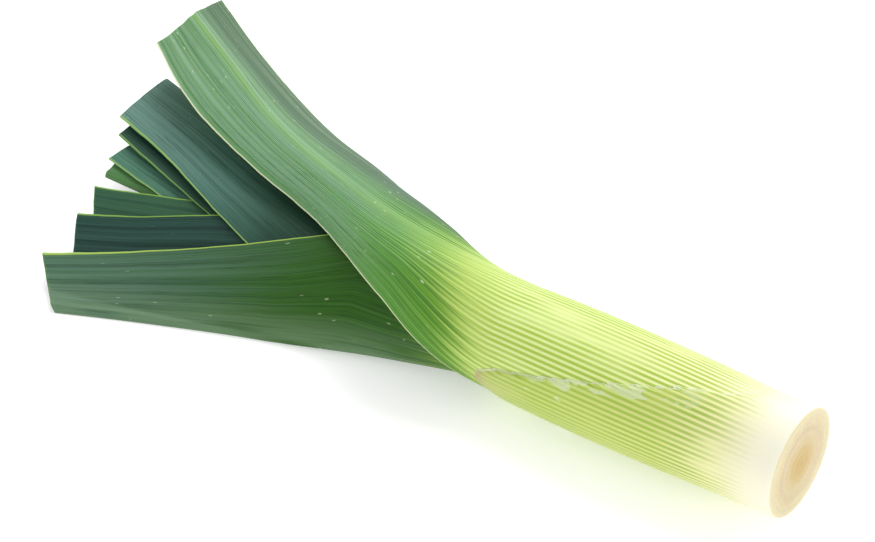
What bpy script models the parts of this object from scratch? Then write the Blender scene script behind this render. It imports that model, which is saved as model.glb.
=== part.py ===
"""A leek, lying on its side with its leaves fanned out flat, cut straight across at both ends.

+X runs along the shank from the leaf tips to the cut base, +Z is up, and the table is at Z = 0.
The lists below are in millimetres and degrees. Geometry is made in metres.
"""
import bpy
import bmesh
from math import asin, cos, pi, radians, sin, sqrt

MM = 0.001

# Shank: the leaf sheaths wrapped inside one another
BASE_RADIUS = 17.0          # at the cut face
SWELL = 5.5                 # how far the shank swells towards its middle
TAPER = 4.4                 # how far it narrows again by the throat
SWELL_LENGTH = 105.0
AXIS_HEIGHT = 18.85         # shank axis above the table
THROAT = 97.0               # cut face to where the outer leaves open
SHEATH_PITCH = 1.65         # from one sheath's outside to the next one's
SHEATH_WALL = 1.3
SKIN_WALL = 0.6             # the dry outer sheath
SKIN_GAP = 0.4

# Fan: the blades lie inside one another, folded, their keels alternately on the near and far side
STATION_STEP = 40.0         # the lists below give values at THROAT + 1, 2, 3, 4 and 5 steps
BLADE_PITCH = 1.4           # from one blade's outside to the next one's, top and bottom
BLADE_WALL = [1.0, 0.9, 0.9, 0.9, 0.9]
KEEL_WALL = [1.1, 1.2, 1.8, 2.4, 3.0]
MARGIN_WALL = 0.55          # thickness of a margin as a share of the wall
TILT = 50.0                 # across the fan, from level, the far side higher
FAN_TILT = [38, 26, 17, 13, 12]
FAN_CENTRE_Y = [2, 2.5, 2.5, 2.5, 2.5]
FAN_CENTRE_Z = [17, 14.5, 12.4, 11.2, 11]
FAN_ABOVE = [13.5, 11.4, 10.3, 9.8, 9.6]
FAN_BELOW = [13, 11.8, 10.9, 10.2, 9.8]
FAN_POINT = [1.18, 1.28, 1.32, 1.35, 1.35]      # 1 is an ellipse, more is pointed

# How far each blade's shell reaches from the fan's centre on its keel side
NEAR_REACH = {
    2: [22, 33, 47, 62, 76],
    4: [11, 18.7, 29, 42.3, 54],
    6: [8, 12.3, 17.4, 24, 31],
    8: [4, 3.7, 3, 1.8, 1.3],
}
FAR_REACH = {
    3: [10.2, 18.5, 29, 41, 51.6],
    5: [7.2, 14, 21.6, 32, 42.4],
    7: [4.2, 8.2, 12.8, 19, 27],
}

# width: keel to margin. A slant is how much further along the cut tip lies at a margin, or less at the keel
LEAVES = {
    2: {"throat": 97, "length": 252, "margin_slant": 8, "keel_slant": 12, "width": [53, 37, 26, 17, 12]},
    3: {"throat": 103, "length": 284, "margin_slant": -4, "keel_slant": 0, "width": [39, 37, 34, 30, 29]},
    4: {"throat": 109, "length": 261, "margin_slant": 1, "keel_slant": 14, "width": [35, 32, 27, 22, 19]},
    5: {"throat": 115, "length": 278, "margin_slant": -2, "keel_slant": 1, "width": [28, 28, 27, 25, 23]},
    6: {"throat": 121, "length": 260, "margin_slant": 7, "keel_slant": 6, "width": [25, 23, 21, 17, 12]},
    7: {"throat": 127, "length": 273, "margin_slant": 0, "keel_slant": 3, "width": [20, 20, 20, 18.5, 17]},
    8: {"throat": 133, "length": 272, "margin_slant": -1, "keel_slant": 2, "width": [12, 12, 11.5, 11, 11]},
}
OPENING = 45.0              # how far past its throat a sheath takes to open into a blade
KEEL_RISE = 2.1             # where a keel lies flat, its fold is this thick
KEEL_GAP = 0.25             # and this far open inside
SPLIT_TURN = 12.0           # the least that each margin stands back from where they meet, in degrees
SAG_START = 200.0           # from here leaf_3's lower half hangs down to the table
SAG = 11.0

# leaf_1 arches over the others on its own line
ARCH = {
    "length": 286,
    "near_slant": -2.5,
    "far_slant": 16.5,
    "keel_y": [3, 15.5, 30, 51, 73],
    "keel_z": [41.5, 38, 37.5, 38.5, 39],
    "roll": [104, 97, 96, 96, 95],
    "fold": [-15, 5, 19, 23, 19],
    "near_width": [28.5, 18, 18, 23, 22],
    "far_width": [39, 38, 37, 36, 36.5],
    "near_curl": [108, 75, 30, -5, -32],
    "far_curl": [105, 43, 16, 5, -5],
    "wall": [0.9, 1.0, 1.0, 1.0, 1.0],
}
ARCH_KEEL = 130.0           # where its keel sits round the shank
NOSE = 4.5                  # the fold at its keel is rounded over this width

# Dry outer sheath: how far up the shank it reaches, by the angle round the shank from the near side
TORN_EDGE = [(-45, 96), (-20, 98), (0, 95), (20, 76), (40, 54), (55, 42), (70, 31), (90, 18), (115, 12),
             (160, 12), (210, 26), (260, 66), (315, 96)]

# Basal plate: the solid disc that the leaves grow from, domed behind the cut face
PLATE_RADIUS = 14.3
PLATE_DEPTH = 16.0
PLATE_GAP = 0.35

ROW_PLACES = [32, 64, 97, 103, 109, 115, 121, 127, 133, 141, 150, 160, 171, 184, 200, 220, 242, 262]
OUTER_COLUMNS = 12          # across half of leaves 1 to 4
INNER_COLUMNS = 8           # across half of the others
SKIN_COLUMNS = 24

COLOURS = {
    "outer_sheath": (0.66, 0.62, 0.42),
    "stem_plate": (0.78, 0.66, 0.40),
    "leaf_1": (0.20, 0.30, 0.08),
    "leaf_2": (0.22, 0.32, 0.12),
    "leaf_3": (0.16, 0.26, 0.14),
    "leaf_4": (0.10, 0.20, 0.10),
    "leaf_5": (0.10, 0.19, 0.11),
    "leaf_6": (0.16, 0.27, 0.09),
    "leaf_7": (0.19, 0.30, 0.16),
    "leaf_8": (0.30, 0.40, 0.14),
}

# Moves the shank's own axes so that the origin is under the middle of the whole leek
CENTRE_X = 151.2
CENTRE_Y = -22.0


def clamp(value, low=0.0, high=1.0):
    return min(max(value, low), high)


def smooth(value):
    t = clamp(value)
    return t * t * (3 - 2 * t)


def shankRadius(s):
    """Outer radius of the shank at the distance s from its cut face."""
    t = clamp(s / SWELL_LENGTH, 0.0, 1.15)
    return BASE_RADIUS + SWELL * sin(pi / 2 * min(t, 1.0)) - TAPER * t


def sheathRadius(number, s):
    if number == 1:
        return shankRadius(s) - SKIN_WALL - SKIN_GAP
    return shankRadius(s) - SHEATH_PITCH * number


def along(start, values, s):
    """A smooth curve through start at the throat and the values at the stations past it."""
    points = [start] + list(values)
    last = len(points) - 1
    slopes = [0.0]
    for k in range(1, last):
        slopes.append((points[k + 1] - points[k - 1]) / 2)
    slopes.append(points[last] - points[last - 1])
    t = clamp((s - THROAT) / STATION_STEP, 0.0, last)
    k = min(int(t), last - 1)
    u = t - k
    value = (2 * u**3 - 3 * u**2 + 1) * points[k] + (u**3 - 2 * u**2 + u) * slopes[k]
    return value + (3 * u**2 - 2 * u**3) * points[k + 1] + (u**3 - u**2) * slopes[k + 1]


def reaches(number, s):
    """How far the shell of one leaf reaches from the fan's centre: near, far, above and below."""
    def near(leaf):
        return along(sheathRadius(leaf, THROAT), NEAR_REACH[leaf], s)

    def far(leaf):
        return along(sheathRadius(leaf, THROAT), FAR_REACH[leaf], s)

    if number % 2 == 0:
        nearReach = near(number)
        if number == 2:
            farReach = far(3) + SHEATH_PITCH
        elif number == 8:
            farReach = far(7) - SHEATH_PITCH
        else:
            farReach = (far(number - 1) + far(number + 1)) / 2
    else:
        farReach = far(number)
        nearReach = (near(number - 1) + near(number + 1)) / 2
    drop = BLADE_PITCH * (number - 2)
    start = sheathRadius(number, THROAT)
    above = along(start, [value - drop for value in FAN_ABOVE], s)
    below = along(start, [value - drop for value in FAN_BELOW], s)
    return nearReach, farReach, above, below


def shellPoint(number, s, turn, depth=0.0):
    """A point of leaf 2 to 8's section, turn degrees round from its keel (over the top if positive).

    depth is 0 on the outside of the wall and 1 on its inside.
    """
    onNearSide = number % 2 == 0
    if s <= THROAT:
        radius = sheathRadius(number, s) - depth * SHEATH_WALL
        keelReach = otherReach = above = below = radius
        point, tilt, centreY, centreZ = 1.0, TILT, 0.0, AXIS_HEIGHT
        floor = 0.0
    else:
        nearReach, farReach, above, below = reaches(number, s)
        keelWall = depth * along(SHEATH_WALL, KEEL_WALL, s)
        sideWall = depth * along(SHEATH_WALL, BLADE_WALL, s)
        keelReach = (nearReach if onNearSide else farReach) - keelWall
        otherReach = (farReach if onNearSide else nearReach) - sideWall
        above -= sideWall
        below -= sideWall
        point = along(1.0, FAN_POINT, s)
        tilt = along(TILT, FAN_TILT, s)
        centreY = along(0.0, FAN_CENTRE_Y, s)
        centreZ = along(AXIS_HEIGHT, FAN_CENTRE_Z, s)
        opened = clamp((s - THROAT) / 30)
        floor = BLADE_PITCH * (number - 2) * opened + sideWall
        if turn > 0:
            floor += opened * (KEEL_RISE * (1 - depth) + KEEL_GAP * depth) * smooth(turn / 10)
    angle = radians(abs(turn))
    across = abs(cos(angle)) ** point * (keelReach if abs(turn) <= 90 else -otherReach)
    if onNearSide:
        across = -across
    up = sin(angle) ** point * (above if turn >= 0 else -below)
    slope = radians(tilt)
    y = centreY + across * cos(slope) - up * sin(slope)
    z = centreZ + across * sin(slope) + up * cos(slope)
    if s > THROAT:
        if number == 3 and turn < 0:
            hang = smooth((s - SAG_START) / 80)
            z -= SAG * hang * (turn / 70) ** 2
            floor -= BLADE_PITCH * smooth((s - SAG_START) / 40)
        z = max(z, floor)
    return y, z


def marginTurn(number, s, side):
    """The turn at which leaf 2 to 8's margin lies: 180 while the sheath is still whole."""
    leaf = LEAVES[number]
    if s <= leaf["throat"]:
        return 180.0
    steps = 60
    lengths = [0.0]
    before = shellPoint(number, s, 0.0)
    for k in range(1, steps + 1):
        here = shellPoint(number, s, side * 180.0 * k / steps)
        lengths.append(lengths[-1] + sqrt((here[0] - before[0]) ** 2 + (here[1] - before[1]) ** 2))
        before = here
    opened = smooth((s - leaf["throat"]) / OPENING)
    start = pi * BASE_RADIUS * 0.85
    width = lengths[-1] * (1 - opened) + along(start, leaf["width"], s) * opened
    mostTurn = 180.0 - SPLIT_TURN * smooth((s - leaf["throat"]) / 20)
    for k in range(1, steps + 1):
        if lengths[k] >= width:
            part = (width - lengths[k - 1]) / (lengths[k] - lengths[k - 1])
            return min(180.0 * (k - 1 + part) / steps, mostTurn)
    return mostTurn


def shellRow(number, s, inside=False):
    """One row across leaf 2 to 8: its points from the lower margin over the keel to the upper one."""
    leaf = LEAVES[number]
    whole = s <= leaf["throat"]
    past = clamp((s - leaf["throat"]) / (leaf["length"] - leaf["throat"]))
    ends = {-1: marginTurn(number, s, -1), 1: marginTurn(number, s, 1)}
    columns = OUTER_COLUMNS if number < 5 else INNER_COLUMNS
    row = []
    for k in range(-columns, columns + 1):
        part = abs(k) / columns
        side = -1 if k < 0 else 1
        depth = 0.0
        if inside:
            depth = 1.0 if whole else 1 - (1 - MARGIN_WALL) * clamp((part - 0.75) / 0.25)
        y, z = shellPoint(number, s, side * part * ends[side], depth)
        slant = leaf["margin_slant"] * part - leaf["keel_slant"] * (1 - part)
        row.append((-s - slant * past**3, y, z))
    return row


def archRow(s, inside=False):
    """One row across leaf_1, from its near margin over the keel to the far one."""
    whole = s <= THROAT
    radius = sheathRadius(1, THROAT)
    keel = radians(ARCH_KEEL)
    row = []
    past = clamp((s - THROAT) / (ARCH["length"] - THROAT))
    if whole:
        for k in range(-OUTER_COLUMNS, OUTER_COLUMNS + 1):
            turn = keel + pi * k / OUTER_COLUMNS
            r = sheathRadius(1, s) - (SHEATH_WALL if inside else 0.0)
            row.append((-s, -r * cos(turn), AXIS_HEIGHT + r * sin(turn)))
        return row
    keelY = along(-radius * cos(keel), ARCH["keel_y"], s)
    keelZ = along(AXIS_HEIGHT + radius * sin(keel), ARCH["keel_z"], s)
    roll = radians(along(ARCH_KEEL, ARCH["roll"], s))
    fold = radians(along(0.0, ARCH["fold"], s))
    wall = along(SHEATH_WALL, ARCH["wall"], s)
    steps = 8
    for side in (-1, 1):
        name = "near" if side < 0 else "far"
        width = along(pi * radius, ARCH[name + "_width"], s)
        curl = radians(along(180.0, ARCH[name + "_curl"], s))
        out, down = 0.0, 0.0
        half = []
        for k in range(OUTER_COLUMNS + 1):
            part = k / OUTER_COLUMNS
            turn = fold * smooth(part * width / NOSE) + curl * part
            depth = wall * (1 - (1 - MARGIN_WALL) * clamp((part - 0.75) / 0.25)) if inside else 0.0
            across = side * (out - depth * sin(turn))
            under = down + depth * cos(turn)
            y = keelY + across * sin(roll) + under * cos(roll)
            z = keelZ + across * cos(roll) - under * sin(roll)
            half.append((-s - ARCH[name + "_slant"] * part * past**3, y, z))
            for step in range(steps):
                between = part + (step + 0.5) / steps / OUTER_COLUMNS
                angle = fold * smooth(between * width / NOSE) + curl * between
                out += width / OUTER_COLUMNS / steps * cos(angle)
                down += width / OUTER_COLUMNS / steps * sin(angle)
        row += half[::-1] if side < 0 else half[1:]
    return row


def rowPlaces(start, length):
    """Where the rows lie. All leaves share them, so the flat faces between rows stay inside one another."""
    places = [start] + [s for s in ROW_PLACES if start + 5 < s < length - 5]
    return places + [length]


def material(name):
    made = bpy.data.materials.new(name)
    made.use_nodes = True
    shader = made.node_tree.nodes["Principled BSDF"]
    shader.inputs["Base Color"].default_value = (*COLOURS[name], 1.0)
    shader.inputs["Roughness"].default_value = 0.45
    shader.inputs["Metallic"].default_value = 0.0
    return made


def addBody(name, mesh, collection, root):
    body = bpy.data.objects.new(name, mesh)
    collection.objects.link(body)
    body.parent = root
    body.data.materials.append(material(name))
    body.data.shade_smooth()
    body.data.set_sharp_from_angle(angle=radians(50))
    return body


def addLeaf(name, outerRows, innerRows, wholeRows, collection, root):
    """A wall between two unlike surfaces: a tube for the first rows, then open along its margins."""
    mesh = bmesh.new()
    columns = len(outerRows[0])

    def addRows(rows):
        grid = []
        for k, row in enumerate(rows):
            points = [mesh.verts.new([value * MM for value in point]) for point in row[:-1]]
            points.append(points[0] if k < wholeRows else mesh.verts.new([value * MM for value in row[-1]]))
            grid.append(points)
        return grid

    outer = addRows(outerRows)
    inner = addRows(innerRows)

    def addFace(*corners):
        different = list(dict.fromkeys(corners))
        mesh.faces.new(different)

    last = len(outer) - 1
    for k in range(last):
        for j in range(columns - 1):
            addFace(outer[k][j], outer[k][j + 1], outer[k + 1][j + 1], outer[k + 1][j])
            addFace(inner[k][j + 1], inner[k][j], inner[k + 1][j], inner[k + 1][j + 1])
        if k + 1 >= wholeRows:
            addFace(outer[k][0], outer[k + 1][0], inner[k + 1][0], inner[k][0])
            addFace(outer[k + 1][-1], outer[k][-1], inner[k][-1], inner[k + 1][-1])
    for j in range(columns - 1):
        addFace(outer[0][j + 1], outer[0][j], inner[0][j], inner[0][j + 1])
        addFace(outer[last][j], outer[last][j + 1], inner[last][j + 1], inner[last][j])
    bmesh.ops.recalc_face_normals(mesh, faces=mesh.faces)
    data = bpy.data.meshes.new(name)
    mesh.to_mesh(data)
    mesh.free()
    return addBody(name, data, collection, root)


def sheathStart(number):
    """Where a sheath starts: on the dome of the basal plate, clear of it by PLATE_GAP."""
    if number == 1:
        return 0.0
    bore = sheathRadius(number, 0.0) - SHEATH_WALL - PLATE_GAP
    return PLATE_DEPTH * sqrt(1 - (bore / PLATE_RADIUS) ** 2) + PLATE_GAP


def addLeaves(collection, root):
    places = rowPlaces(0.0, ARCH["length"])
    wholeRows = sum(s <= THROAT for s in places)
    outer = [archRow(s) for s in places]
    inner = [archRow(s, inside=True) for s in places]
    addLeaf("leaf_1", outer, inner, wholeRows, collection, root)
    for number, leaf in LEAVES.items():
        places = rowPlaces(sheathStart(number), leaf["length"])
        wholeRows = sum(s <= leaf["throat"] for s in places)
        outer = [shellRow(number, s) for s in places]
        inner = [shellRow(number, s, inside=True) for s in places]
        addLeaf("leaf_%d" % number, outer, inner, wholeRows, collection, root)


def tornLength(degrees):
    """How far up the shank the dry outer sheath reaches at an angle round the shank."""
    for (low, before), (high, after) in zip(TORN_EDGE, TORN_EDGE[1:]):
        if low <= degrees <= high:
            return before + (after - before) * (degrees - low) / (high - low)
    return TORN_EDGE[-1][1]


def addOuterSheath(collection, root):
    """The dry skin round the lower shank, torn off on a slant: an open sheet thickened inwards."""
    mesh = bmesh.new()
    rows = 5
    rings = []
    for k in range(rows + 1):
        ring = []
        for j in range(SKIN_COLUMNS):
            degrees = -45 + 360 * j / SKIN_COLUMNS
            s = tornLength(degrees) * k / rows
            angle = radians(degrees)
            r = shankRadius(s)
            ring.append(mesh.verts.new((-s * MM, -r * cos(angle) * MM, (AXIS_HEIGHT + r * sin(angle)) * MM)))
        rings.append(ring)
    for k in range(rows):
        for j in range(SKIN_COLUMNS):
            after = (j + 1) % SKIN_COLUMNS
            mesh.faces.new((rings[k][j], rings[k][after], rings[k + 1][after], rings[k + 1][j]))
    bmesh.ops.recalc_face_normals(mesh, faces=mesh.faces)
    data = bpy.data.meshes.new("outer_sheath")
    mesh.to_mesh(data)
    mesh.free()
    skin = addBody("outer_sheath", data, collection, root)
    wall = skin.modifiers.new("wall", "SOLIDIFY")
    wall.thickness = SKIN_WALL * MM
    wall.offset = -1.0
    return skin


def addStemPlate(collection, root):
    """The basal plate: a half profile turned about the shank's axis."""
    steps = 7
    profile = [(-PLATE_DEPTH, 0.0)]
    for k in range(1, steps):
        turn = pi / 2 * k / steps
        profile.append((-PLATE_DEPTH * cos(turn), PLATE_RADIUS * sin(turn)))
    profile += [(0.0, PLATE_RADIUS), (0.0, 0.0)]
    data = bpy.data.meshes.new("stem_plate")
    points = [(x * MM, 0.0, r * MM) for x, r in profile]
    edges = [(k, k + 1) for k in range(len(points) - 1)]
    data.from_pydata(points, edges, [])
    plate = addBody("stem_plate", data, collection, root)
    plate.location = (0.0, 0.0, AXIS_HEIGHT * MM)
    turned = plate.modifiers.new("turned", "SCREW")
    turned.axis = "X"
    turned.angle = 2 * pi
    turned.steps = 28
    turned.render_steps = 28
    turned.use_normal_flip = True
    turned.use_merge_vertices = True
    turned.merge_threshold = 0.00005
    return plate


def main():
    for old in list(bpy.data.objects):
        bpy.data.objects.remove(old)
    leek = bpy.data.collections.new("leek")
    bpy.context.scene.collection.children.link(leek)
    root = bpy.data.objects.new("leek_root", None)
    leek.objects.link(root)
    root.location = (CENTRE_X * MM, CENTRE_Y * MM, 0.0)
    addStemPlate(leek, root)
    addOuterSheath(leek, root)
    addLeaves(leek, root)


main()
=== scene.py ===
import bpy
import numpy as np
from mathutils import Matrix, Vector


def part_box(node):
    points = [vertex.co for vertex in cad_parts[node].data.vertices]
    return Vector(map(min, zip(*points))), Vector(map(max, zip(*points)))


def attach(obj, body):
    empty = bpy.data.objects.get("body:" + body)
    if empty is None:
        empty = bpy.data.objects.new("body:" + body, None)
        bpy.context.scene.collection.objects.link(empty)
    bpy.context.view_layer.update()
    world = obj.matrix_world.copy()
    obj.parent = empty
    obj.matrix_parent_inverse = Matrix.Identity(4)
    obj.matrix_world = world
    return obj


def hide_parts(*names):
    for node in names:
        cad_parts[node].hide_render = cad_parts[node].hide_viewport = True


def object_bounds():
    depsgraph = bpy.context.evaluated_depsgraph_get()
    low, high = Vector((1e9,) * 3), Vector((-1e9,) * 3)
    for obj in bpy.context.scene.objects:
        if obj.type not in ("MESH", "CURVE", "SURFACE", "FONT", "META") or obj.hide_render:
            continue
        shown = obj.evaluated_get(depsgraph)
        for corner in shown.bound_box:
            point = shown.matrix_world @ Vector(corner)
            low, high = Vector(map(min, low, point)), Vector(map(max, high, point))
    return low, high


# A trimmed leek on a white table. Lengths below are in millimetres, angles in degrees.

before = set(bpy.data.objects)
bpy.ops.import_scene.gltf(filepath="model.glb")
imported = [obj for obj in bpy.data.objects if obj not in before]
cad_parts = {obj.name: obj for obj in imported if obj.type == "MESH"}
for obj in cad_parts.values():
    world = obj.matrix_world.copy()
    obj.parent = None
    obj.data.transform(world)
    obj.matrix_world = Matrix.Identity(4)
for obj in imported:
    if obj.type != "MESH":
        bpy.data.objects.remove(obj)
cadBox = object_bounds()
print("frame loaded")

mm = 0.001
plateLow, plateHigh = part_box("stem_plate")
baseX = plateHigh.x / mm                       # the cut face
axisY = (plateLow.y + plateHigh.y) / 2 / mm    # middle of the shank
axisZ = (plateLow.z + plateHigh.z) / 2 / mm

shank = {
    "baseRadius": 17.0,
    "swell": 5.5,
    "taper": 4.4,
    "swellLength": 105.0,
    "throat": 97.0,         # where the outer leaf opens
    "pitch": 1.65,          # one sheath inside the next
    "wall": 1.3,
    "skinWall": 0.6,
    "skinGap": 0.4,
}

# How the blades lie inside one another: values at the throat plus 1, 2, 3, 4 and 5 steps
fan = {
    "step": 40.0,
    "pitch": 1.4,
    "bladeWall": [1.0, 0.9, 0.9, 0.9, 0.9],
    "keelWall": [1.1, 1.2, 1.8, 2.4, 3.0],
    "marginWall": 0.45,     # share of the wall left at a margin
    "marginFrom": 0.75,     # and where it starts to thin, as a share of the way from the keel
    "foldRise": 2.1,        # thickness of a keel that lies flat, and how far open it is inside
    "foldGap": 0.25,
    "foldLength": 30.0,
    "startTilt": 50.0,
    "tilt": [38, 26, 17, 13, 12],
    "centreY": [2, 2.5, 2.5, 2.5, 2.5],
    "centreZ": [17, 14.5, 12.4, 11.2, 11],
    "above": [13.5, 11.4, 10.3, 9.8, 9.6],
    "below": [13, 11.8, 10.9, 10.2, 9.8],
    "point": [1.18, 1.28, 1.32, 1.35, 1.35],
    "opening": 45.0,        # length over which a sheath turns into a blade
    "startWidth": 0.85,     # half a blade's width at the throat, as a share of half the way round the shank
    "splitTurn": 12.0,      # how far, in degrees, the two margins part at the throat
    "splitLength": 20.0,
    "sag": 11.0,            # how far leaf 3's lower half hangs
    "sagSpan": (200.0, 280.0),
    "sagTurn": 70.0,
    "lowerSpan": (200.0, 240.0),
    "start": 16.0,          # where the sheaths begin, one millimetre further in for each leaf
    "rows": 130,
    "halfColumns": 64,
    "near": {
        2: [22, 33, 47, 62, 76],
        4: [11, 18.7, 29, 42.3, 54],
        6: [8, 12.3, 17.4, 24, 31],
        8: [4, 3.7, 3, 1.8, 1.3],
    },
    "far": {
        3: [10.2, 18.5, 29, 41, 51.6],
        5: [7.2, 14, 21.6, 32, 42.4],
        7: [4.2, 8.2, 12.8, 19, 27],
    },
}

leaves = {
    2: {"throat": 97, "length": 252, "marginSlant": 8, "keelSlant": 12, "width": [53, 37, 26, 17, 12]},
    3: {"throat": 103, "length": 284, "marginSlant": -4, "keelSlant": 0, "width": [39, 37, 34, 30, 29]},
    4: {"throat": 109, "length": 261, "marginSlant": 1, "keelSlant": 14, "width": [35, 32, 27, 22, 19]},
    5: {"throat": 115, "length": 278, "marginSlant": -2, "keelSlant": 1, "width": [28, 28, 27, 25, 23]},
    6: {"throat": 121, "length": 260, "marginSlant": 7, "keelSlant": 6, "width": [25, 23, 21, 17, 12]},
    7: {"throat": 127, "length": 273, "marginSlant": 0, "keelSlant": 3, "width": [20, 20, 20, 18.5, 17]},
    8: {"throat": 133, "length": 272, "marginSlant": -1, "keelSlant": 2, "width": [12, 12, 11.5, 11, 11]},
}

# The outermost leaf arches over the others on its own line
arch = {
    "length": 286,
    "nearSlant": -2.5,
    "farSlant": 16.5,
    "keelAngle": 130.0,
    "keelY": [3, 15.5, 30, 51, 73],
    "keelZ": [41.5, 38, 37.5, 38.5, 39],
    "roll": [104, 97, 96, 96, 95],
    "fold": [-15, 5, 19, 23, 19],
    "nearWidth": [28.5, 18, 18, 23, 22],
    "farWidth": [39, 38, 37, 36, 36.5],
    "nearCurl": [108, 75, 30, -5, -32],
    "farCurl": [105, 43, 16, 5, -5],
    "wall": [0.9, 1.0, 1.0, 1.0, 1.0],
    "nose": 4.5,            # half the width of the rounded fold over the keel
    "start": 2.0,
    "rows": 190,
    "halfColumns": 198,     # six columns to a vein, so that the ridges come out round
}

detail = {
    "veins": 66,            # round one sheath, so about 1.7 mm apart on the shank
    "veinEdge": (0.36, 0.16),           # where a vein's colour begins and is full; 0.5 is midway to the next
    "ridge": 0.05,          # height of a vein above the sheath
    "sheathRidges": (8, 38, 95, 135),   # where these begin, are full, start to fade and end
    "bladeRidge": 0.035,
    "bladeRidges": (100, 140),
    "ridgeKeel": 12.0,      # the blade's ridges come in over a twelfth of the way from keel to margin
    "nick": 0.12,           # how uneven a margin is
    "nickLength": 30.0,
    "cutWave": 0.25,        # how uneven a knife cut is
    "sheathRows": 0.3,      # share of a leaf's rows that its sheath gets
    "marginLead": 16.0,     # how far the margins are ahead of the keel in turning green
    "marginLeadSpan": (40, 90),
}


def smooth(t):
    t = np.clip(t, 0, 1)
    return t * t * (3 - 2 * t)


def between(value, begins, full):
    # 0 where a change begins and 1 where it is complete
    return smooth((value - begins) / (full - begins))


def waves(x, seed, octaves=4):
    # a gentle repeatable wobble between about -1 and 1
    total = 0.0
    for k in range(octaves):
        total = total + np.sin(x * 1.7**k + seed * (k + 1.3)) / 1.6**k
    return total / 2.2


def shankRadius(s):
    t = np.clip(s / shank["swellLength"], 0, 1.15)
    return shank["baseRadius"] + shank["swell"] * np.sin(np.pi / 2 * np.minimum(t, 1)) - shank["taper"] * t


def sheathRadius(number, s):
    if number == 1:
        return shankRadius(s) - shank["skinWall"] - shank["skinGap"]
    return shankRadius(s) - shank["pitch"] * number


def along(start, values, s):
    # a smooth curve through start at the throat and one value at each step past it
    points = [start] + list(values)
    last = len(points) - 1
    slopes = [0.0] + [(points[k + 1] - points[k - 1]) / 2 for k in range(1, last)]
    slopes.append(points[last] - points[last - 1])
    t = min(max((s - shank["throat"]) / fan["step"], 0.0), last)
    k = min(int(t), last - 1)
    u = t - k
    value = (2 * u**3 - 3 * u**2 + 1) * points[k] + (u**3 - 2 * u**2 + u) * slopes[k]
    return value + (3 * u**2 - 2 * u**3) * points[k + 1] + (u**3 - u**2) * slopes[k + 1]


def reaches(number, s):
    def near(leaf):
        return along(sheathRadius(leaf, shank["throat"]), fan["near"][leaf], s)

    def far(leaf):
        return along(sheathRadius(leaf, shank["throat"]), fan["far"][leaf], s)

    if number % 2 == 0:
        nearReach = near(number)
        if number == 2:
            farReach = far(3) + shank["pitch"]
        elif number == 8:
            farReach = far(7) - shank["pitch"]
        else:
            farReach = (far(number - 1) + far(number + 1)) / 2
    else:
        farReach = far(number)
        nearReach = (near(number - 1) + near(number + 1)) / 2
    drop = fan["pitch"] * (number - 2)
    start = sheathRadius(number, shank["throat"])
    above = along(start, [value - drop for value in fan["above"]], s)
    below = along(start, [value - drop for value in fan["below"]], s)
    return nearReach, farReach, above, below


def shellSection(number, s, turn, depth):
    # y and z round one leaf's section, turn degrees from its keel, depth 0 outside and 1 inside
    nearSide = number % 2 == 0
    if s <= shank["throat"]:
        radius = sheathRadius(number, s) - depth * shank["wall"]
        keelReach = otherReach = above = below = radius
        point, tilt, centreY, centreZ, floor = 1.0, fan["startTilt"], 0.0, axisZ, -100.0
    else:
        nearReach, farReach, above, below = reaches(number, s)
        keelWall = depth * along(shank["wall"], fan["keelWall"], s)
        sideWall = depth * along(shank["wall"], fan["bladeWall"], s)
        keelReach = (nearReach if nearSide else farReach) - keelWall
        otherReach = (farReach if nearSide else nearReach) - sideWall
        above = above - sideWall
        below = below - sideWall
        point = along(1.0, fan["point"], s)
        tilt = along(fan["startTilt"], fan["tilt"], s)
        centreY = along(0.0, fan["centreY"], s)
        centreZ = along(axisZ, fan["centreZ"], s)
        opened = min((s - shank["throat"]) / fan["foldLength"], 1)
        foldWall = (fan["foldRise"] * (1 - depth) + fan["foldGap"] * depth) * opened
        floor = fan["pitch"] * (number - 2) * opened + sideWall
        floor = floor + np.where(turn > 0, foldWall * smooth(turn / 10), 0.0)
    angle = np.radians(np.abs(turn))
    across = np.abs(np.cos(angle)) ** point * np.where(np.abs(turn) <= 90, keelReach, -otherReach)
    if nearSide:
        across = -across
    up = np.sin(angle) ** point * np.where(turn >= 0, above, -below)
    slope = np.radians(tilt)
    y = centreY + across * np.cos(slope) - up * np.sin(slope)
    z = centreZ + across * np.sin(slope) + up * np.cos(slope)
    if s > shank["throat"]:
        if number == 3:
            hang = fan["sag"] * between(s, *fan["sagSpan"])
            z = z - np.where(turn < 0, hang * (turn / fan["sagTurn"]) ** 2, 0.0)
            floor = floor - np.where(turn < 0, fan["pitch"] * between(s, *fan["lowerSpan"]), 0.0)
        z = np.maximum(z, floor)
    return y, z


def marginTurns(number, s, side, parts):
    # the turns that lie at these parts of the way from the keel to the margin, and the width
    leaf = leaves[number]
    turns = np.linspace(0, 180, 181)
    y, z = shellSection(number, s, side * turns, 0.0)
    lengths = np.concatenate([[0], np.cumsum(np.hypot(np.diff(y), np.diff(z)))])
    if s <= leaf["throat"]:
        return np.interp(parts * lengths[-1], lengths, turns), lengths[-1]
    opened = smooth((s - leaf["throat"]) / fan["opening"])
    start = np.pi * shank["baseRadius"] * fan["startWidth"]
    width = lengths[-1] * (1 - opened) + along(start, leaf["width"], s) * opened
    mostTurn = 180 - fan["splitTurn"] * smooth((s - leaf["throat"]) / fan["splitLength"])
    width = min(width, np.interp(mostTurn, turns, lengths))
    width += detail["nick"] * waves(s * 0.35 + side * 9, number) * opened
    return np.interp(parts * width, lengths, turns), width


def wallShare(share):
    # how much of its wall a blade has left, at a share of the way from its keel to its margin
    return 1 - (1 - fan["marginWall"]) * np.clip((share - fan["marginFrom"]) / (1 - fan["marginFrom"]), 0, 1)


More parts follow.
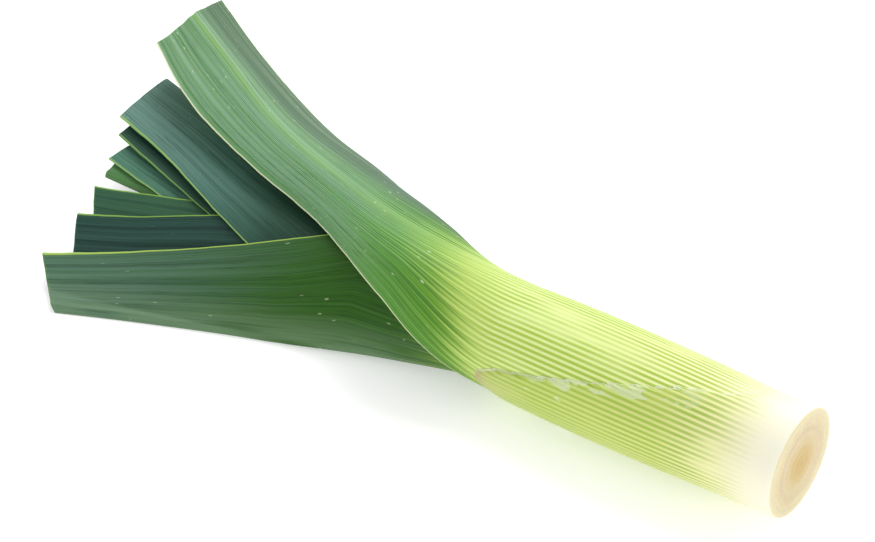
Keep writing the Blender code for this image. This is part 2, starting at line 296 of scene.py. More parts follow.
def shellGrid(number, places, parts, inside):
    # points of one nested leaf, a row for each place along it, and its width there
    leaf = leaves[number]
    grid = np.zeros((len(places), len(parts), 3))
    widths = np.zeros((len(places), len(parts)))
    share = np.abs(parts)
    for k, s in enumerate(places):
        whole = s <= leaf["throat"]
        lower, lowWidth = marginTurns(number, s, -1, share)
        upper, highWidth = marginTurns(number, s, 1, share)
        turn = np.where(parts < 0, -lower, upper)
        depth = 0.0
        if inside:
            depth = 1.0 if whole else wallShare(share)
        y, z = shellSection(number, s, turn, depth)
        past = min(max((s - leaf["throat"]) / (leaf["length"] - leaf["throat"]), 0), 1)
        slant = leaf["marginSlant"] * share - leaf["keelSlant"] * (1 - share)
        slant = slant + detail["cutWave"] * waves(parts * 5, number * 2.1)
        grid[k] = np.stack([-s - slant * past**3, y, z], 1)
        widths[k] = np.where(parts < 0, lowWidth, highWidth)
    return grid, widths


def ridges(parts, s):
    # raised veins of the outermost leaf: none at the base, lower on the blade, and none there over the keel
    vein = np.cos(np.pi * parts * detail["veins"])
    begins, full, fades, ends = detail["sheathRidges"]
    sheath = detail["ridge"] * between(s, begins, full) * (1 - between(s, fades, ends))
    blade = detail["bladeRidge"] * between(s, *detail["bladeRidges"])
    return (sheath + blade * smooth(np.abs(parts) * detail["ridgeKeel"])) * vein


def addedUp(values):
    # what a row of evenly spaced values comes to on the way along it
    return np.concatenate([[0], np.cumsum((values[1:] + values[:-1]) / 2)]) / (len(values) - 1)


def archGrid(places, parts, inside):
    # points of the outermost leaf, each half of a row bending down from the keel
    grid = np.zeros((len(places), len(parts), 3))
    widths = np.zeros((len(places), len(parts)))
    share = np.abs(parts)
    throat = shank["throat"]
    radius = sheathRadius(1, throat)
    keel = np.radians(arch["keelAngle"])
    fine = np.linspace(0, 1, 201)
    for k, s in enumerate(places):
        rise = 0.0 if inside else ridges(parts, s)
        if s <= throat:
            turn = keel + np.pi * parts
            r = sheathRadius(1, s) - (shank["wall"] if inside else 0.0) + rise
            grid[k] = np.stack([np.full(len(parts), -s), -r * np.cos(turn), axisZ + r * np.sin(turn)], 1)
            widths[k] = np.pi * radius
            continue
        keelY = along(-radius * np.cos(keel), arch["keelY"], s)
        keelZ = along(axisZ + radius * np.sin(keel), arch["keelZ"], s)
        roll = np.radians(along(arch["keelAngle"], arch["roll"], s))
        fold = np.radians(along(0.0, arch["fold"], s))
        wall = along(shank["wall"], arch["wall"], s)
        past = min((s - throat) / (arch["length"] - throat), 1)
        slant = np.where(parts < 0, arch["nearSlant"], arch["farSlant"]) * share
        slant = slant + detail["cutWave"] * waves(parts * 6, 3.0)
        for side, name in ((-1, "near"), (1, "far")):
            width = along(np.pi * radius, arch[name + "Width"], s)
            ragged = smooth((s - throat) / detail["nickLength"])
            width += detail["nick"] * waves(s * 0.3 + side * 5, 1.0) * ragged
            curl = np.radians(along(180.0, arch[name + "Curl"], s))
            bend = fold * smooth(fine * width / arch["nose"]) + curl * fine
            out = addedUp(np.cos(bend)) * width
            down = addedUp(np.sin(bend)) * width
            mine = parts < 0 if side < 0 else parts >= 0
            part = share[mine]
            turn = np.interp(part, fine, bend)
            depth = wall * wallShare(part) if inside else -rise[mine]
            across = side * (np.interp(part, fine, out) - depth * np.sin(turn))
            under = np.interp(part, fine, down) + depth * np.cos(turn)
            y = keelY + across * np.sin(roll) + under * np.cos(roll)
            z = keelZ + across * np.cos(roll) - under * np.sin(roll)
            grid[k, mine] = np.stack([-s - slant[mine] * past**3, y, z], 1)
            widths[k, mine] = width
    return grid, widths


def inRow(points):
    # from the shank's own axes in millimetres to the row frame in metres
    return (np.asarray(points) + np.array([baseX, axisY, 0.0])) * mm


def meshFrom(name, points, faces, attributes):
    mesh = bpy.data.meshes.new(name)
    mesh.from_pydata(points.tolist(), [], faces)
    for key, values in attributes.items():
        layer = mesh.attributes.new(key, "FLOAT", "POINT")
        layer.data.foreach_set("value", np.asarray(values, np.float32))
    mesh.shade_smooth()
    mesh.set_sharp_from_angle(angle=np.radians(45))
    mesh.validate()
    piece = bpy.data.objects.new(name, mesh)
    bpy.context.scene.collection.objects.link(piece)
    return piece


def wallPiece(name, outer, inner, wholeRows, attributes):
    # closes an outer and an inner grid into one thin wall; whole rows run right round
    rows, columns, _ = outer.shape
    ids = np.zeros((2, rows, columns), int)
    points, values = [], {key: [] for key in attributes}
    count = 0
    for side, grid in enumerate((outer, inner)):
        for k in range(rows):
            used = columns - 1 if k < wholeRows else columns
            ids[side, k, :used] = np.arange(count, count + used)
            if used < columns:
                ids[side, k, -1] = count
            points.append(grid[k, :used])
            for key, both in attributes.items():
                values[key].append(both[side][k, :used])
            count += used
    a, b = ids[:, :-1, :-1], ids[:, :-1, 1:]
    c, d = ids[:, 1:, 1:], ids[:, 1:, :-1]
    faces = np.stack([a[0], b[0], c[0], d[0]], -1).reshape(-1, 4).tolist()
    faces += np.stack([b[1], a[1], d[1], c[1]], -1).reshape(-1, 4).tolist()
    for j in range(columns - 1):
        faces.append([ids[0, 0, j + 1], ids[0, 0, j], ids[1, 0, j], ids[1, 0, j + 1]])
        faces.append([ids[0, -1, j], ids[0, -1, j + 1], ids[1, -1, j + 1], ids[1, -1, j]])
    for k in range(max(wholeRows - 1, 0), rows - 1):
        faces.append([ids[0, k, 0], ids[0, k + 1, 0], ids[1, k + 1, 0], ids[1, k, 0]])
        faces.append([ids[0, k + 1, -1], ids[0, k, -1], ids[1, k, -1], ids[1, k + 1, -1]])
    faces = [list(dict.fromkeys(int(v) for v in face)) for face in faces]
    faces = [face for face in faces if len(face) > 2]
    merged = {key: np.concatenate(parts) for key, parts in values.items()}
    return meshFrom(name, inRow(np.concatenate(points)), faces, merged)


def leafAttributes(places, parts, widths, tip):
    # what the materials read: the vein's number, and distances from the base, margin, keel and cut tip
    # tissue is the distance from the base that a place looks like, for the margins turn green first
    s = np.repeat(places[:, None], len(parts), 1)
    share = np.abs(parts)[None, :]
    found = {
        "vein": (parts[None, :] * detail["veins"] / 2 + 100) * np.ones_like(s),
        "fromBase": s,
        "fromMargin": (1 - share) * widths,
        "fromKeel": share * widths,
        "fromTip": tip - s,
        "tissue": s + detail["marginLead"] * share * between(s, *detail["marginLeadSpan"]),
    }
    return {key: (value, value) for key, value in found.items()}


def leafPlaces(start, throat, length, count):
    # places along a leaf for its rows, with one on the throat
    sheath = np.linspace(start, throat, int(count * detail["sheathRows"]), endpoint=False)
    blade = np.linspace(throat, length, count - len(sheath))
    return np.concatenate([sheath, blade])


def hexColour(text):
    # sRGB hex to the linear values that a shader wants
    values = [int(text[k:k + 2], 16) / 255 for k in (1, 3, 5)]
    return [v / 12.92 if v <= 0.04045 else ((v + 0.055) / 1.055) ** 2.4 for v in values] + [1.0]


def addNode(tree, kind, settings=None, links=None):
    # one node with its settings; links takes a socket from another node, or a plain value
    node = tree.nodes.new(kind)
    for key, value in (settings or {}).items():
        setattr(node, key, value)
    for socket, value in (links or {}).items():
        target = node.inputs[socket]
        if isinstance(value, bpy.types.NodeSocket):
            tree.links.new(value, target)
        else:
            target.default_value = value
    return node


def newMaterial(name):
    made = bpy.data.materials.new(name)
    made.use_nodes = True
    tree = made.node_tree
    tree.nodes.clear()
    return made, tree


# Living leaf, grown as one sheet: a white unlit sheath that turns lime, then green where light reaches it.
# tissue gives its colour by the distance from the base in millimetres
leafLook = {
    1: {
        "tissue": [(0, "#fffbe0"), (12, "#fdfad0"), (28, "#f2f5b4"), (62, "#e2ef9e"), (104, "#dcec9c"),
                   (119, "#bfd874"), (130, "#8cb850"), (146, "#6aa04e"), (172, "#66985e"), (230, "#609258"),
                   (300, "#538249")],
        "dark": "#2f5a30",
        "bladeLine": "#8dae78",
        "bloom": "#8fae9d",
        "bloomAmount": 0.55,
        "bloomSpan": (125, 215),
        "margin": "#dde4b4",
        "midrib": "#8ab465",
        "midribAmount": 0.45,
        "scars": 0.9,
        "throat": "#4a8a12",
        "throatAmount": 0.75,
        # painted shade over the far half of the blade
        "farHalfPaintedShade": "#34593a",
        "farHalfShadeAmount": 0.9,
    },
    2: {
        "tissue": [(0, "#fffceb"), (40, "#f4f7c4"), (80, "#cfe08c"), (100, "#5c8a34"), (130, "#2f6010"),
                   (185, "#2c5812"), (230, "#385a42"), (300, "#4a6a54")],
        "dark": "#1b3a1c",
        "bladeLine": "#4f7a48",
        "bloom": "#6f8f80",
        "bloomAmount": 0.35,
        "bloomSpan": (160, 250),
        "margin": "#a9c95a",
        # the paler band over the keel is widened here: wax bloom together with painted light bounced up from
        # the table on the low part by the keel
        "midrib": "#7d9a78",
        "midribAmount": 0.5,
        "midribWidth": 15.0,
        "scars": 0.5,
    },
    3: {
        # the dark stops from 115 to 205 mm are painted shadow cast by leaf 1's margin near the throat; the
        # paler blue-grey towards the tip is partly painted highlight
        "tissue": [(0, "#fffceb"), (40, "#f4f7c4"), (90, "#b9cf7e"), (115, "#244a20"), (170, "#17301f"),
                   (205, "#1f4032"), (240, "#40695c"), (300, "#658a7e")],
        "dark": "#173228",
        "bladeLine": "#416a58",
        "bloom": "#6f9389",
        "bloomAmount": 0.4,
        "bloomSpan": (190, 262),
        "margin": "#8db860",
        "midrib": "#4f7a5c",
        "scars": 0.25,
    },
    4: {
        "tissue": [(0, "#fffceb"), (40, "#f4f7c4"), (90, "#b9cf7e"), (115, "#1c3a1c"), (170, "#122c22"),
                   (300, "#183a32")],
        "dark": "#0f2a22",
        "bladeLine": "#2f5c4a",
        "bloom": "#3c605a",
        "bloomAmount": 0.35,
        "bloomSpan": (150, 240),
        "margin": "#86ad4c",
        "midrib": "#3d6b50",
        "scars": 0.15,
    },
    5: {
        "tissue": [(0, "#fffceb"), (40, "#f4f7c4"), (90, "#b9cf7e"), (120, "#1f4220"), (170, "#132e22"),
                   (300, "#1e4032")],
        "dark": "#0f2a20",
        "bladeLine": "#2f5c48",
        "bloom": "#3c5c50",
        "bloomAmount": 0.3,
        "bloomSpan": (150, 240),
        "margin": "#6f9c50",
        "midrib": "#3d6b50",
        "scars": 0.1,
    },
    6: {
        "tissue": [(0, "#fffceb"), (40, "#f4f7c4"), (95, "#b9cf7e"), (125, "#2c5426"), (180, "#28502e"),
                   (300, "#264e3c")],
        "dark": "#1b4028",
        "bladeLine": "#44733f",
        "bloom": "#466a5a",
        "bloomAmount": 0.3,
        "bloomSpan": (140, 230),
        "margin": "#86b04c",
        "midrib": "#4d7a4c",
        "scars": 0.1,
    },
    7: {
        "tissue": [(0, "#fffceb"), (40, "#f4f7c4"), (100, "#b9cf7e"), (130, "#3f6e48"), (190, "#3a6850"),
                   (300, "#40705a")],
        "dark": "#254c38",
        "bladeLine": "#4f7c62",
        "bloom": "#6b9484",
        "bloomAmount": 0.35,
        "bloomSpan": (140, 230),
        "margin": "#8db468",
        "midrib": "#5c8a68",
        "scars": 0.1,
    },
    8: {
        "tissue": [(0, "#fffceb"), (40, "#f4f7c4"), (105, "#c9da8e"), (135, "#5b8a45"), (200, "#4f7f3f"),
                   (300, "#487a44")],
        "dark": "#2c5430",
        "bladeLine": "#638f56",
        "bloom": "#7c9c7c",
        "bloomAmount": 0.2,
        "bloomSpan": (140, 230),
        "margin": "#9dc060",
        "midrib": "#6c9a5a",
        "scars": 0.1,
    },
}
leafSurface = {
    "sheathVein": "#a0be40",
    "scar": "#d3d8b8",
    "midribWidth": 3.2,
    "midribAmount": 0.2,
    "fineStreaks": (2.0, 0.006),    # how many to a vein, and how many to a millimetre along it
    "broadStreaks": (0.35, 0.004),
    "dashes": (1.2, 0.045),
    "fading": (0.25, 0.02),         # where the veins of the sheath show less
    "scars": (0.8, 0.26),
    "patchiness": 24.0,             # how much further, in mm, the green reaches down some streaks than others
    "roughness": (0.38, 0.55),      # waxy cuticle: a broad, soft shine
    "ior": 1.42,
    "specular": 0.2,
    "subsurface": 0.1,
    "scatter": (0.0016, 0.0022, 0.0007),
    "bump": 0.25,
    "bumpDepth": 0.00012,
    "length": 300.0,                # what a tissue ramp's full width stands for
}


def tissueRamp(tree, distance, stops, length):
    share = addNode(tree, "ShaderNodeMath", {"operation": "DIVIDE"}, {0: distance, 1: length})
    ramp = addNode(tree, "ShaderNodeValToRGB", None, {0: share.outputs[0]})
    points = ramp.color_ramp.elements
    while len(points) < len(stops):
        points.new(0.5)
    for point, (place, colour) in zip(points, stops):
        point.position = place / length
        point.color = hexColour(colour)
    return ramp.outputs[0]


def alongVeins(tree, vein, distance, scale, shift=0.0):
    # a place on the leaf laid out flat: scale is how much it moves on by a vein across and a millimetre along
    across = addNode(tree, "ShaderNodeMath", {"operation": "MULTIPLY_ADD"}, {0: vein, 1: scale[0], 2: shift})
    down = addNode(tree, "ShaderNodeMath", {"operation": "MULTIPLY"}, {0: distance, 1: scale[1]})
    place = addNode(tree, "ShaderNodeCombineXYZ", None, {0: across.outputs[0], 1: down.outputs[0]})
    return place.outputs[0]


def streaks(tree, vein, distance, scale, shift=0.0):
    # noise drawn out along the leaf
    place = alongVeins(tree, vein, distance, scale, shift)
    noise = addNode(tree, "ShaderNodeTexNoise", {"noise_dimensions": "2D"},
                    {"Vector": place, "Scale": 1.0, "Detail": 2.0, "Roughness": 0.6})
    return noise.outputs[0]


def paintOver(tree, base, colour, amount, spans):
    # lays one colour over another where every span holds
    # a span is a value, where the colour begins and where it is full
    for value, begins, full in spans:
        mask = addNode(tree, "ShaderNodeMapRange", {"interpolation_type": "SMOOTHSTEP"},
                       {0: value, 1: begins, 2: full})
        shared = addNode(tree, "ShaderNodeMath", {"operation": "MULTIPLY"}, {0: mask.outputs[0], 1: amount})
        amount = shared.outputs[0]
    mixed = addNode(tree, "ShaderNodeMix", {"data_type": "RGBA"},
                    {0: amount, 6: base, 7: hexColour(colour)})
    return mixed.outputs[2]


def readAttributes(tree, names):
    read = {}
    for name in names:
        read[name] = addNode(tree, "ShaderNodeAttribute", {"attribute_name": name}).outputs["Fac"]
    # 0 on a vein and 0.5 midway between two
    folded = addNode(tree, "ShaderNodeMath", {"operation": "PINGPONG"}, {0: read["vein"], 1: 0.5})
    read["offVein"] = folded.outputs[0]
    return read


def freshLeaf(name, look):
    # Living leaf tissue under a wax bloom: the eye sees parallel veins, darker streaks, and a soft sheen
    made, tree = newMaterial(name)
    read = readAttributes(tree, ("vein", "fromBase", "tissue", "fromMargin", "fromKeel", "fromTip"))
    vein, fromBase = read["vein"], read["fromBase"]
    fading = streaks(tree, vein, fromBase, leafSurface["fading"])
    fine = streaks(tree, vein, fromBase, leafSurface["fineStreaks"])
    broad = streaks(tree, vein, fromBase, leafSurface["broadStreaks"], 7.0)
    dashes = streaks(tree, vein, fromBase, leafSurface["dashes"], 31.0)
    # green reaches further down some streaks than others
    reach = leafSurface["patchiness"]
    further = addNode(tree, "ShaderNodeMath", {"operation": "MULTIPLY_ADD"},
                      {0: fine, 1: reach, 2: read["tissue"]})
    centred = addNode(tree, "ShaderNodeMath", {"operation": "SUBTRACT"},
                      {0: further.outputs[0], 1: reach / 2})
    tissue = centred.outputs[0]
    blade = (tissue, 110, 140)

    colour = tissueRamp(tree, tissue, look["tissue"], leafSurface["length"])
    # veins of the sheath, lost in the white towards the base
    colour = paintOver(tree, colour, leafSurface["sheathVein"], 0.9,
                       [(read["offVein"], *detail["veinEdge"]), (fromBase, 5, 34), (tissue, 140, 104),
                        (fading, 0.1, 0.6)])
    # blade: deep green by the throat, then the grey wax, then fine parallel streaks
    if "throat" in look:
        colour = paintOver(tree, colour, look["throat"], look["throatAmount"],
                           [(vein, 92, 78), (tissue, 112, 128), (tissue, 190, 140)])
    colour = paintOver(tree, colour, look["bloom"], look["bloomAmount"],
                       [(broad, 0.3, 0.66), (tissue, *look["bloomSpan"])])
    # painted shade: leaf 1's far half, turned up and away, is painted darker than its own tissue
    if "farHalfPaintedShade" in look:
        colour = paintOver(tree, colour, look["farHalfPaintedShade"], look["farHalfShadeAmount"], [(vein, 101.5, 116), blade])
    colour = paintOver(tree, colour, look["bladeLine"], 0.32, [(fine, 0.5, 0.3), blade])
    colour = paintOver(tree, colour, look["dark"], 0.55, [(fine, 0.5, 0.68), blade])
    colour = paintOver(tree, colour, look["dark"], 0.45, [(dashes, 0.6, 0.7), (broad, 0.7, 0.45), blade])
    # midrib: a paler band over the keel
    width = look.get("midribWidth", leafSurface["midribWidth"])
    colour = paintOver(tree, colour, look["midrib"], look.get("midribAmount", leafSurface["midribAmount"]),
                       [(read["fromKeel"], width, 0.3), (fading, 0.1, 0.6), blade])
    # small scars where the skin was grazed, here and there along a few veins
    spots = addNode(tree, "ShaderNodeTexVoronoi", {"voronoi_dimensions": "2D"},
                    {"Vector": alongVeins(tree, vein, fromBase, leafSurface["scars"]), "Scale": 1.0})
    chosen = addNode(tree, "ShaderNodeSeparateColor", None, {0: spots.outputs["Color"]})
    colour = paintOver(tree, colour, leafSurface["scar"], look["scars"],
                       [(spots.outputs["Distance"], 0.24, 0.1), (chosen.outputs[0], 0.94, 0.99),
                        (dashes, 0.42, 0.6), blade])
    # margins and the cut: thin, so light comes through them yellow-green
    colour = paintOver(tree, colour, look["margin"], 0.8,
                       [(read["fromMargin"], 0.6, 0.25), (fromBase, 100, 106)])
    colour = paintOver(tree, colour, look["bladeLine"], 0.7, [(read["fromTip"], 0.5, 0.15)])

    smoothest, roughest = leafSurface["roughness"]
    shine = addNode(tree, "ShaderNodeMapRange", None, {0: fine, 1: 0.3, 2: 0.7, 3: smoothest, 4: roughest})
    # veins stand a little proud of the streaks between them
    height = addNode(tree, "ShaderNodeMath", {"operation": "MULTIPLY_ADD"},
                     {0: read["offVein"], 1: -0.8, 2: fine})
    bump = addNode(tree, "ShaderNodeBump", None, {
        "Height": height.outputs[0], "Strength": leafSurface["bump"], "Distance": leafSurface["bumpDepth"]})
    shader = addNode(tree, "ShaderNodeBsdfPrincipled", None, {
        "Base Color": colour, "Roughness": shine.outputs[0], "IOR": leafSurface["ior"],
        "Specular IOR Level": leafSurface["specular"], "Subsurface Weight": leafSurface["subsurface"],
        "Subsurface Scale": 1.0, "Subsurface Radius": leafSurface["scatter"], "Normal": bump.outputs[0]})
    addNode(tree, "ShaderNodeOutputMaterial", None, {0: shader.outputs[0]})
    return made


def leafGrid(number, places, parts, inside):
    if number == 1:
        return archGrid(places, parts, inside)
    return shellGrid(number, places, parts, inside)


def addLeafPiece(number):
    if number == 1:
        size, start, throat, length = arch, arch["start"], shank["throat"], arch["length"]
    else:
        size, start = fan, fan["start"] + number
        throat, length = leaves[number]["throat"], leaves[number]["length"]
    parts = np.linspace(-1, 1, 2 * size["halfColumns"] + 1)    # from one margin over the keel to the other
    places = leafPlaces(start, throat, length, size["rows"])
    outer, widths = leafGrid(number, places, parts, False)
    inner, _ = leafGrid(number, places, parts, True)
    wholeRows = int(np.sum(places <= throat))
    name = "leafBlade%d" % number
    piece = wallPiece(name, outer, inner, wholeRows, leafAttributes(places, parts, widths, length))
    piece.data.materials.append(freshLeaf("freshLeaf%d" % number, leafLook[number]))
    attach(piece, "root")
    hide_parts("leaf_%d" % number)
    print(name, "made")


for number in range(1, 9):
    addLeafPiece(number)


skin = {
    # how far up the shank the dry skin reaches, by the angle round it from the near side
    "tornEdge": [(-45, 97), (-20, 103.5), (-8, 102), (4, 95), (20, 76), (35, 60), (46, 50), (53, 43),
                 (65, 35), (75, 24), (87, 19), (109, 14), (160, 12), (210, 26), (260, 66), (315, 97)],
    "columns": 528,         # eight to a vein
    "rows": 90,
    "start": 2.0,           # where the even rows begin, past the rolled rim
    "rim": 14.6,            # where the rounded rim meets the root plate
    "rimDepth": 1.0,
    "jag": 1.3,             # how far the tear is off its line
    "jagRise": (-2, 10),    # where round the shank it starts being ragged, and where it stops
    "jagFall": (66, 86),
    "ridgeSpan": (16, 46),
    "thinning": 5.0,        # how far from the tear the skin starts to thin
    "sink": (0.75, 0.35),   # and how far it sinks there, outside and inside
    # lime kept darker than leaf 1's at the same distance: painted shade, for the skin wraps the shank's lower
    # side
    "limeAndPaintedShade": [(0, "#fffbe0"), (8, "#fffad8"), (20, "#f4f4b0"), (38, "#d6e084"), (80, "#c5d570"),
             (96, "#c6cf7c"), (104, "#c9b886")],
    "limeLength": 110.0,
    "sheathVein": "#9ebb3c",
    "film": "#d5e2b0",
    "tearEdgeAndHighlight": "#f3f5d8",
    "dryTip": "#b89a6a",
    "cutRim": "#ecdcae",
    "fading": (0.2, 0.03),  # how many to a vein, and how many to a millimetre along it
    "shreds": (0.6, 0.09),
    "shredLength": 60.0,
    "filmBorder": (-24.0, -25.5),
    "roughness": 0.42,
    "ior": 1.42,
    "subsurface": 0.2,
    "scatter": (0.003, 0.0028, 0.001),
    "bump": 0.2,
    "bumpDepth": 0.00012,
}


def skinGrid(inside):
    places, reach = zip(*skin["tornEdge"])
    angles = np.linspace(places[0], places[-1], skin["columns"] + 1)
    ragged = between(angles, *skin["jagRise"]) * (1 - between(angles, *skin["jagFall"]))
    tears = waves(angles * 0.9, 2.0, 6)
    tears = tears + 0.8 * np.abs(waves(angles * 0.35, 5.0, 3)) * np.sign(waves(angles * 2.6, 1.0, 2))
    torn = np.interp(angles, places, reach) + skin["jag"] * tears * ragged
    # the rim rolls over on to the cut face: how far along, and its radius
    edge = shank["baseRadius"]
    rolled = [(0.12, skin["rim"]), (0.0, edge - 0.9), (0.06, edge - 0.45), (0.25, edge - 0.12),
              (0.7, edge + 0.02)]
    grid = np.zeros((skin["rows"] + len(rolled), len(angles), 3))
    turn = np.radians(angles)
    fromBase = np.zeros(grid.shape[:2])
    fromEdge = np.zeros(grid.shape[:2])
    outerSink, innerSink = skin["sink"]
    for k in range(len(grid)):
        if k < len(rolled):
            s = np.full(len(angles), rolled[k][0])
            r = np.full(len(angles), rolled[k][1])
            if inside:
                s = s + skin["rimDepth"]
                r = r - shank["skinWall"]
        else:
            s = skin["start"] + (torn - skin["start"]) * (k - len(rolled)) / (skin["rows"] - 1)
            thin = smooth(1 - (torn - s) / skin["thinning"])
            if inside:
                r = shankRadius(s) - shank["skinWall"] - innerSink * thin
            else:
                rise = detail["ridge"] * np.cos(turn * detail["veins"]) * between(s, *skin["ridgeSpan"])
                r = shankRadius(s) - outerSink * thin + rise * (1 - thin)
        fromBase[k] = s
        fromEdge[k] = torn - s
        grid[k] = np.stack([-s, -r * np.cos(turn), axisZ + r * np.sin(turn)], 1)
    vein = np.repeat((angles / 360 * detail["veins"] + 100.3)[None, :], len(grid), 0)
    return grid, {"vein": vein, "fromBase": fromBase, "fromEdge": fromEdge}


def drySkin(name):
    # The outermost sheath after harvest: drying, veins standing out, torn edge bleached to a clear film; its
    # lime carries painted shade for the shank's lower side, and a painted highlight runs along the tear
    made, tree = newMaterial(name)
    read = readAttributes(tree, ("vein", "fromBase", "fromEdge"))
    vein, fromBase, fromEdge = read["vein"], read["fromBase"], read["fromEdge"]
    fading = streaks(tree, vein, fromBase, skin["fading"])
    shreds = streaks(tree, vein, fromBase, skin["shreds"], 3.0)
    # the lime ramp carries painted shade that darkens the skin on the shank's lower side
    colour = tissueRamp(tree, fromBase, skin["limeAndPaintedShade"], skin["limeLength"])
    colour = paintOver(tree, colour, skin["sheathVein"], 0.9,
                       [(read["offVein"], *detail["veinEdge"]), (fromBase, 5, 30), (fading, 0.1, 0.6)])
    # only the clear outer film is left along the tear, and its lower border is ragged
    border = addNode(tree, "ShaderNodeMath", {"operation": "MULTIPLY_ADD"},
                     {0: shreds, 1: -skin["shredLength"], 2: fromEdge})
    colour = paintOver(tree, colour, skin["film"], 0.72,
                       [(border.outputs[0], *skin["filmBorder"]), (fromBase, 90, 76), (fromBase, 20, 40)])
    # the torn edge is pale, and brightened further as a painted highlight along it
    colour = paintOver(tree, colour, skin["tearEdgeAndHighlight"], 0.5, [(fromEdge, 1.8, 0.4), (fromBase, 10, 24)])
    colour = paintOver(tree, colour, skin["dryTip"], 0.6, [(fromBase, 97, 103)])
    colour = paintOver(tree, colour, skin["cutRim"], 0.9, [(fromBase, 0.5, 0.1)])
    bump = addNode(tree, "ShaderNodeBump", {"invert": True}, {
        "Height": read["offVein"], "Strength": skin["bump"], "Distance": skin["bumpDepth"]})
    shader = addNode(tree, "ShaderNodeBsdfPrincipled", None, {
        "Base Color": colour, "Roughness": skin["roughness"], "IOR": skin["ior"],
        "Subsurface Weight": skin["subsurface"], "Subsurface Scale": 1.0,
        "Subsurface Radius": skin["scatter"], "Normal": bump.outputs[0]})
    addNode(tree, "ShaderNodeOutputMaterial", None, {0: shader.outputs[0]})
    return made


def addOuterSkin():
    outer, outerRead = skinGrid(False)
    inner, innerRead = skinGrid(True)
    attributes = {key: (outerRead[key], innerRead[key]) for key in outerRead}
    piece = wallPiece("outerSkin", outer, inner, len(outer), attributes)
    piece.data.materials.append(drySkin("drySkin"))
    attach(piece, "root")
    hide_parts("outer_sheath")
    print("outer skin made")


addOuterSkin()

rootPlate = {
    "radius": 15.0,
    "depth": 15.0,
    "shoulder": (1.5, 0.3),         # how far in the plate is widest, and by how much
    "back": 0.93,                   # radius of its domed back, as a share of the face's
    "ripple": 0.05,                 # height of the rings on the cut
    "columns": 180,
    # rings seen on the cut, by distance from the axis
    "rings": [(0, "#cfae62"), (4.6, "#d6ba74"), (6.8, "#dcc68f"), (9.6, "#e2d0a6"), (11.0, "#dccaa0"),
              (11.7, "#e0cfa6"), (13.2, "#ead9ac"), (14.8, "#f0e3b6")],
    "ringLength": 17.0,
    "ringWander": 2.4,              # how far, in mm, a ring is off its circle
    "blotches": 0.16,               # to a millimetre, so one is about 6 mm across
    "fibres": 1.4,                  # and a fibre about 0.7 mm
    "fibre": "#c6a873",
    "roughness": 0.4,
    "ior": 1.38,
    "subsurface": 0.3,
    "scatter": (0.003, 0.002, 0.001),
    "bump": 0.25,
    "bumpDepth": 0.0001,
}


def cutPlate(name):
    # Freshly cut root plate: wet fibrous flesh, rings of packed leaf bases round a golden core
    made, tree = newMaterial(name)
    radius = addNode(tree, "ShaderNodeAttribute", {"attribute_name": "fromAxis"}).outputs["Fac"]
    place = addNode(tree, "ShaderNodeNewGeometry")
    blotch = addNode(tree, "ShaderNodeTexNoise", None, {
        "Vector": place.outputs["Position"], "Scale": rootPlate["blotches"] / mm, "Detail": 4.0})
    wander = rootPlate["ringWander"]
    wobble = addNode(tree, "ShaderNodeMath", {"operation": "MULTIPLY_ADD"},
                     {0: blotch.outputs[0], 1: wander, 2: radius})
    moved = addNode(tree, "ShaderNodeMath", {"operation": "SUBTRACT"}, {0: wobble.outputs[0], 1: wander / 2})
    colour = tissueRamp(tree, moved.outputs[0], rootPlate["rings"], rootPlate["ringLength"])
    fibres = addNode(tree, "ShaderNodeTexNoise", None, {
        "Vector": place.outputs["Position"], "Scale": rootPlate["fibres"] / mm, "Detail": 3.0})
    speck = addNode(tree, "ShaderNodeMapRange", None, {0: fibres.outputs[0], 1: 0.35, 2: 0.7, 3: 0.0, 4: 0.3})
    mixed = addNode(tree, "ShaderNodeMix", {"data_type": "RGBA"},
                    {0: speck.outputs[0], 6: colour, 7: hexColour(rootPlate["fibre"])})
    bump = addNode(tree, "ShaderNodeBump", None, {
        "Height": fibres.outputs[0], "Strength": rootPlate["bump"], "Distance": rootPlate["bumpDepth"]})
    shader = addNode(tree, "ShaderNodeBsdfPrincipled", None, {
        "Base Color": mixed.outputs[2], "Roughness": rootPlate["roughness"], "IOR": rootPlate["ior"],
        "Subsurface Weight": rootPlate["subsurface"], "Subsurface Scale": 1.0,
        "Subsurface Radius": rootPlate["scatter"], "Normal": bump.outputs[0]})
    addNode(tree, "ShaderNodeOutputMaterial", None, {0: shader.outputs[0]})
    return made


def addRootPlate():
    # half the plate's outline: the rippled face, the shoulder and the domed back
    radius, ripple = rootPlate["radius"], rootPlate["ripple"]
    shoulder, flare = rootPlate["shoulder"]
    outline = [(-ripple - ripple * np.cos(r * 2.2), r) for r in np.linspace(0, radius, 40)]
    outline += [(-shoulder, radius + flare)]
    outline += [(-rootPlate["depth"] * np.sin(t) - shoulder, radius * rootPlate["back"] * np.cos(t))
                for t in np.linspace(0.1, np.pi / 2, 16)]
    turns = np.linspace(0, 2 * np.pi, rootPlate["columns"], endpoint=False)
    points, radii = [], []
    for x, r in outline[1:-1]:
        for turn in turns:
            points.append((x, -r * np.cos(turn), axisZ + r * np.sin(turn)))
            radii.append(r)
    rings, columns = len(outline) - 2, len(turns)
    first, last = len(points), len(points) + 1
    points += [(outline[0][0], 0.0, axisZ), (outline[-1][0], 0.0, axisZ)]
    radii += [0.0, 0.0]
    faces = []
    for j in range(columns):
        after = (j + 1) % columns
        faces.append((first, after, j))
        faces.append((last, (rings - 1) * columns + j, (rings - 1) * columns + after))
        for k in range(rings - 1):
            here, beyond = k * columns, (k + 1) * columns
            faces.append((here + j, here + after, beyond + after, beyond + j))
    piece = meshFrom("rootPlate", inRow(points), faces, {"fromAxis": radii})
    piece.data.materials.append(cutPlate("cutPlate"))
    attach(piece, "root")
    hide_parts("stem_plate")
    print("root plate made")


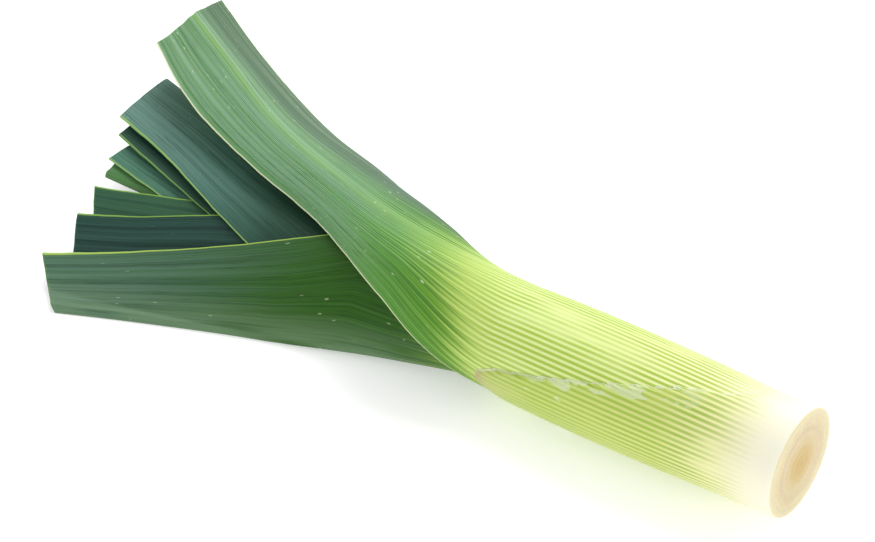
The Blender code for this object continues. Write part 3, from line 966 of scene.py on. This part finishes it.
addRootPlate()

studio = {
    "azimuth": 36.6,
    "elevation": 35.2,
    "lens": 100.0,
    "distance": 0.69,
    "aim": (0.0496, -0.0582, 0.0634),
    "skyStrength": 0.8,
    "table": "#e1e1e1",
    "tableHalf": 3.0,
    "tableDrop": 0.0003,    # just clear of what lies on it
    "tableGlow": 0.42,      # keeps the table white where the leek hides part of the sky
    "lights": [
        # name, right, back and up of the leek in metres, size, watts
        ("keyAbove", 0.35, 0.75, 1.1, 0.9, 12.0),
        ("fillFront", -0.6, -0.9, 0.8, 1.0, 1.0),
    ],
}


def addStudio():
    azimuth, elevation = np.radians(studio["azimuth"]), np.radians(studio["elevation"])
    level = np.cos(elevation)
    back = Vector((np.sin(azimuth) * level, -np.cos(azimuth) * level, np.sin(elevation)))
    right = Vector((np.cos(azimuth), np.sin(azimuth), 0.0))
    up = back.cross(right)
    away = Vector((-np.sin(azimuth), np.cos(azimuth), 0.0))
    camera = bpy.data.objects.new("camera", bpy.data.cameras.new("camera"))
    bpy.context.scene.collection.objects.link(camera)
    camera.data.lens = studio["lens"]
    camera.data.sensor_width = 36.0
    camera.data.clip_start = 0.01
    camera.matrix_world = Matrix.Translation(Vector(studio["aim"]) + back * studio["distance"]) @ Matrix(
        (right, up, back)).transposed().to_4x4()
    bpy.context.scene.camera = camera

    half = studio["tableHalf"]
    floor = bpy.data.objects.new("floor", bpy.data.meshes.new("floor"))
    floor.data.from_pydata([(-half, -half, 0), (half, -half, 0), (half, half, 0), (-half, half, 0)], [],
                           [(0, 1, 2, 3)])
    floor.location.z = cadBox[0].z - studio["tableDrop"]
    bpy.context.scene.collection.objects.link(floor)
    # Matt white laminate: plain, with no reflection of what lies on it
    made, tree = newMaterial("whiteTable")
    shader = addNode(tree, "ShaderNodeBsdfPrincipled", None, {
        "Base Color": hexColour(studio["table"]), "Roughness": 0.8, "Specular IOR Level": 0.2,
        "Emission Color": hexColour("#ffffff"), "Emission Strength": studio["tableGlow"]})
    addNode(tree, "ShaderNodeOutputMaterial", None, {0: shader.outputs[0]})
    floor.data.materials.append(made)

    for name, sideways, behind, height, size, watts in studio["lights"]:
        light = bpy.data.lights.new(name, "AREA")
        light.size = size
        light.energy = watts
        holder = bpy.data.objects.new(name, light)
        bpy.context.scene.collection.objects.link(holder)
        holder.location = right * sideways + away * behind + Vector((0, 0, height))
        holder.rotation_euler = holder.location.to_track_quat("Z", "Y").to_euler()
    world = bpy.data.worlds.new("studioSky")
    bpy.context.scene.world = world
    world.use_nodes = True
    world.node_tree.nodes["Background"].inputs[0].default_value = (1, 1, 1, 1)
    world.node_tree.nodes["Background"].inputs[1].default_value = studio["skyStrength"]
    bpy.context.scene.view_settings.view_transform = "Standard"
    print("studio set")


addStudio()
